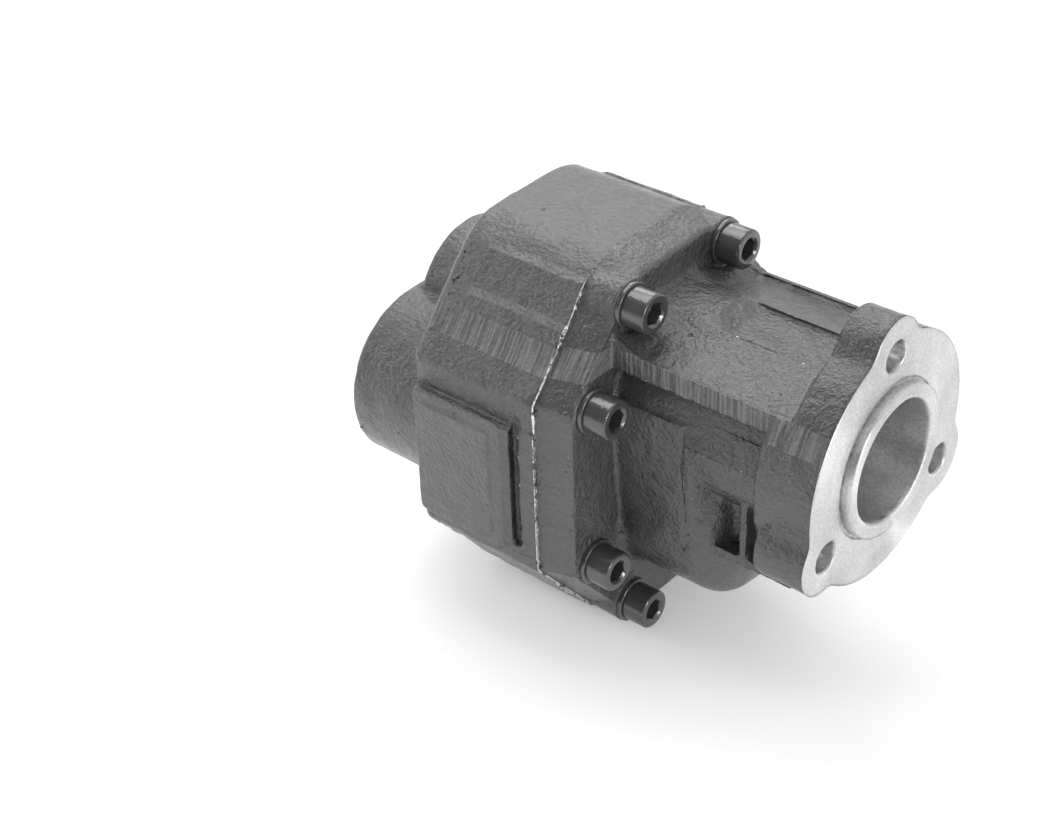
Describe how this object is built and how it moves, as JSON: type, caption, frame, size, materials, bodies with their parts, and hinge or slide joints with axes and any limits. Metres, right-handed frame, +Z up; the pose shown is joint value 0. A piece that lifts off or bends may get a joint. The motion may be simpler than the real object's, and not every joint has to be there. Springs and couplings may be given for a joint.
{
  "type": "hydraulic gear pump",
  "caption": "External gear hydraulic pump: two-piece cast casing with a bolted drive flange, pilot spigot, recessed splined shaft and threaded oil ports at the rear.",
  "frame": {"origin": "centre of the mounting flange's face, on the drive shaft's axis", "axes": "+X out of the mounting flange along the drive shaft, +Z up from the driven gear towards the drive gear, +Y across the pump so that the frame is right-handed"},
  "size_m": [0.2089, 0.1426, 0.1665],
  "materials": {
    "painted_casting": "dark grey semi-gloss paint over sand-cast iron, bare machined faces",
    "case_hardened_steel": "ground and case-hardened",
    "block_aluminium": "machined",
    "bush_bronze": "bored and burnished",
    "seal_rubber": "moulded, matt",
    "backup_plastic": "moulded",
    "bright_steel": "turned",
    "spring_steel": "phosphated",
    "painted_screws": "dark grey paint over blackened steel, worn bright in the sockets"
  },
  "bodies": {
    "housing": {"front_casting": "painted_casting", "rear_casting": "painted_casting", "front_bearing_block": "block_aluminium", "rear_bearing_block": "block_aluminium", "drive_front_bush": "bush_bronze", "drive_rear_bush": "bush_bronze", "driven_front_bush": "bush_bronze", "driven_rear_bush": "bush_bronze", "front_block_seal": "seal_rubber", "front_backup_ring": "backup_plastic", "rear_block_seal": "seal_rubber", "rear_backup_ring": "backup_plastic", "joint_seal": "seal_rubber", "inner_shaft_seal": "seal_rubber", "outer_shaft_seal": "seal_rubber", "seal_spacer": "bright_steel", "seal_retaining_ring": "spring_steel", "rear_plug": "bright_steel", "rear_plug_seal": "seal_rubber", "plug_retaining_ring": "spring_steel", "dowel_pins": "bright_steel", "body_screws": "painted_screws", "screw_washers": "painted_screws"},
    "drive_shaft": {"drive_gear_shaft": "case_hardened_steel"},
    "driven_shaft": {"driven_gear_shaft": "case_hardened_steel"}
  },
  "joints": [
    {"name": "drive_shaft_spin", "type": "hinge", "parent": "housing", "child": "drive_shaft", "pos_m": [0, 0, 0], "axis": [1, 0, 0], "continuous": true},
    {"name": "driven_shaft_spin", "type": "hinge", "parent": "housing", "child": "driven_shaft", "pos_m": [0, 0, -0.051], "axis": [1, 0, 0], "continuous": true}
  ],
  "couplings": [
    {"joint": "driven_shaft_spin", "follows": "drive_shaft_spin", "ratio": -1}
  ]
}
